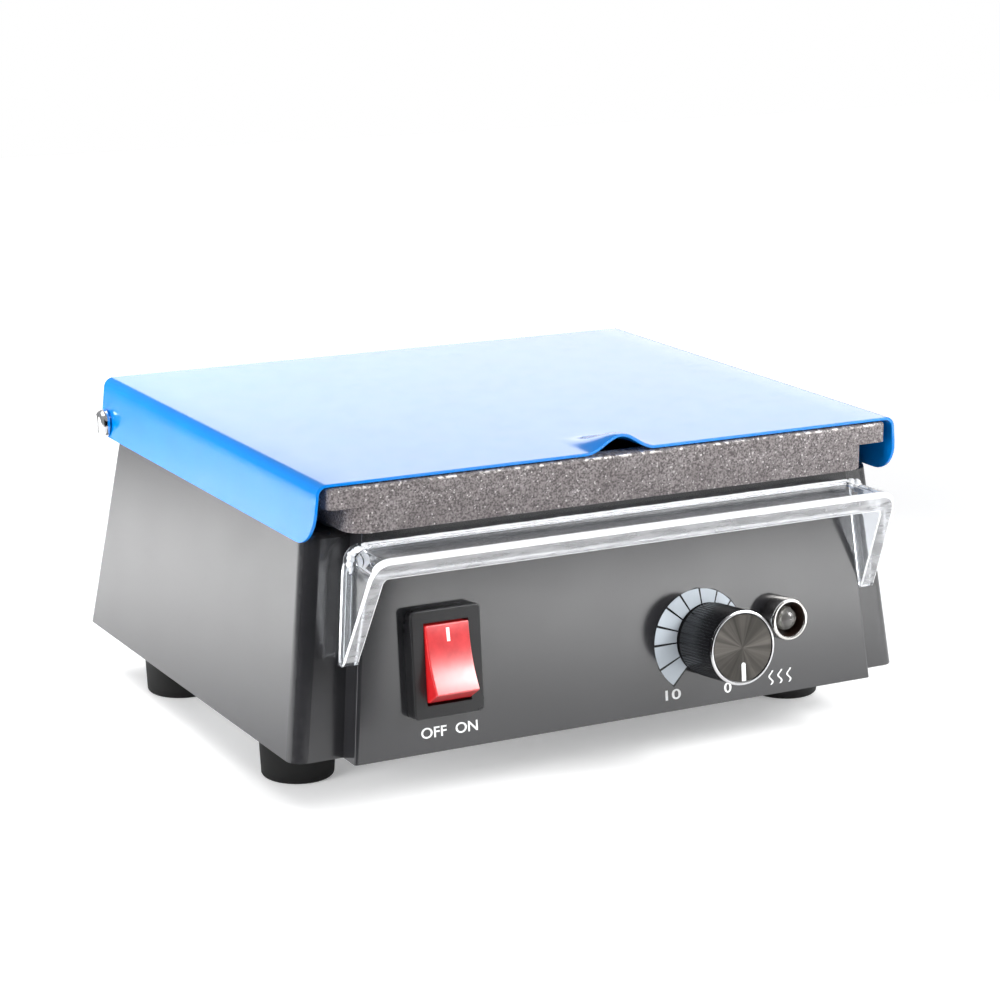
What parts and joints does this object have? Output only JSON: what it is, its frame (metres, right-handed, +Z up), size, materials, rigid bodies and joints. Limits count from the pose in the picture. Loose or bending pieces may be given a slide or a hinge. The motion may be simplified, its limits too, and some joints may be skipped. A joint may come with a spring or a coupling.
{
  "type": "dental wax heater",
  "caption": "Bench-top wax heater: cast tank with wells under a hinged lid, on a sloping housing with a rocker switch, heat knob and lamp behind a clear guard.",
  "frame": {"origin": "under the middle of the whole object's box, on the surface that the feet stand on", "axes": "+X to the right seen from the front, +Y to the rear, +Z up; the controls face -Y"},
  "size_m": [0.14, 0.1278, 0.0685],
  "materials": {
    "housing_plastic": "dark grey moulded plastic, glossy",
    "panel_plastic": "dark grey moulded plastic, high gloss",
    "clear_plastic": "clear acrylic, polished edges",
    "cast_coated": "sand-cast, speckled non-stick coating",
    "blue_paint": "glossy sky-blue enamel on sheet",
    "black_rubber": "matt black",
    "silicone": "grey silicone sheet",
    "zinc_steel": "bright zinc plate",
    "steel_sheet": "galvanised sheet",
    "bright_chrome": "polished",
    "black_plastic": "black moulded plastic",
    "red_plastic": "translucent red, lit from within",
    "nylon": "natural nylon",
    "spun_metal": "turned face",
    "white_ink": "white inlay",
    "clear_epoxy": "clear LED resin",
    "mica": "pressed mica with foil element",
    "ceramic_fibre": "ceramic fibre pad",
    "bakelite": "moulded phenolic",
    "circuit_board": "green solder mask",
    "relay_blue": "blue relay case",
    "film_yellow": "yellow capacitor case",
    "can_sleeve": "dark sleeve, metal top",
    "terminal_green": "green terminal block",
    "glass_tube": "fuse glass and caps",
    "brass": "bright"
  },
  "bodies": {
    "heater": {"housing": "housing_plastic", "base_plate": "steel_sheet", "base_screws": "zinc_steel", "feet": "black_rubber", "foot_screws": "zinc_steel", "foot_nuts": "zinc_steel", "front_panel": "panel_plastic", "panel_screws": "zinc_steel", "splash_guard": "clear_plastic", "wax_tank": "cast_coated", "tank_gasket": "silicone", "tank_screws": "zinc_steel", "lid_pivot_screws": "bright_chrome", "lid_pivot_washers": "nylon", "heater_element": "mica", "heater_pad": "ceramic_fibre", "heater_clamp_plate": "steel_sheet", "heater_studs": "zinc_steel", "heater_nuts": "zinc_steel", "thermal_cutout": "bakelite", "cutout_screws": "zinc_steel", "temperature_sensor": "bright_chrome", "sensor_screw": "zinc_steel", "switch_frame": "black_plastic", "switch_terminals": "brass", "pot_body": "zinc_steel", "pot_washer": "zinc_steel", "pot_nut": "zinc_steel", "lamp_bezel": "bright_chrome", "lamp_led": "clear_epoxy", "lamp_nut": "zinc_steel", "control_board": "circuit_board", "board_standoffs": "brass", "board_screws": "zinc_steel", "relay": "relay_blue", "film_capacitor": "film_yellow", "can_capacitor": "can_sleeve", "terminal_block": "terminal_green", "fuse": "glass_tube", "fuse_clips": "brass", "board_components": "black_plastic", "inlet_body": "black_plastic", "inlet_pins": "brass", "inlet_screws": "zinc_steel", "inlet_nuts": "zinc_steel", "earth_stud": "brass", "earth_lug": "brass", "earth_nut": "brass"},
    "lid": {"lid": "blue_paint"},
    "knob": {"knob_barrel": "black_plastic", "knob_face": "spun_metal", "knob_pointer": "white_ink", "knob_set_screw": "zinc_steel", "pot_shaft": "zinc_steel"},
    "rocker": {"switch_rocker": "red_plastic"}
  },
  "joints": [
    {"name": "lid_hinge", "type": "hinge", "parent": "heater", "child": "lid", "pos_m": [0, 0.0571, 0.0561], "axis": [-1, 0, 0], "range_deg": [0, 159.5]},
    {"name": "knob_turn", "type": "hinge", "parent": "heater", "child": "knob", "pos_m": [0.0199, -0.05015, 0.02466], "axis": [0, -0.9935, 0.1141], "range_deg": [0, 300]},
    {"name": "rocker_tilt", "type": "hinge", "parent": "heater", "child": "rocker", "pos_m": [-0.0404, -0.05087, 0.02892], "axis": [1, 0, 0], "range_deg": [0, 30]}
  ]
}
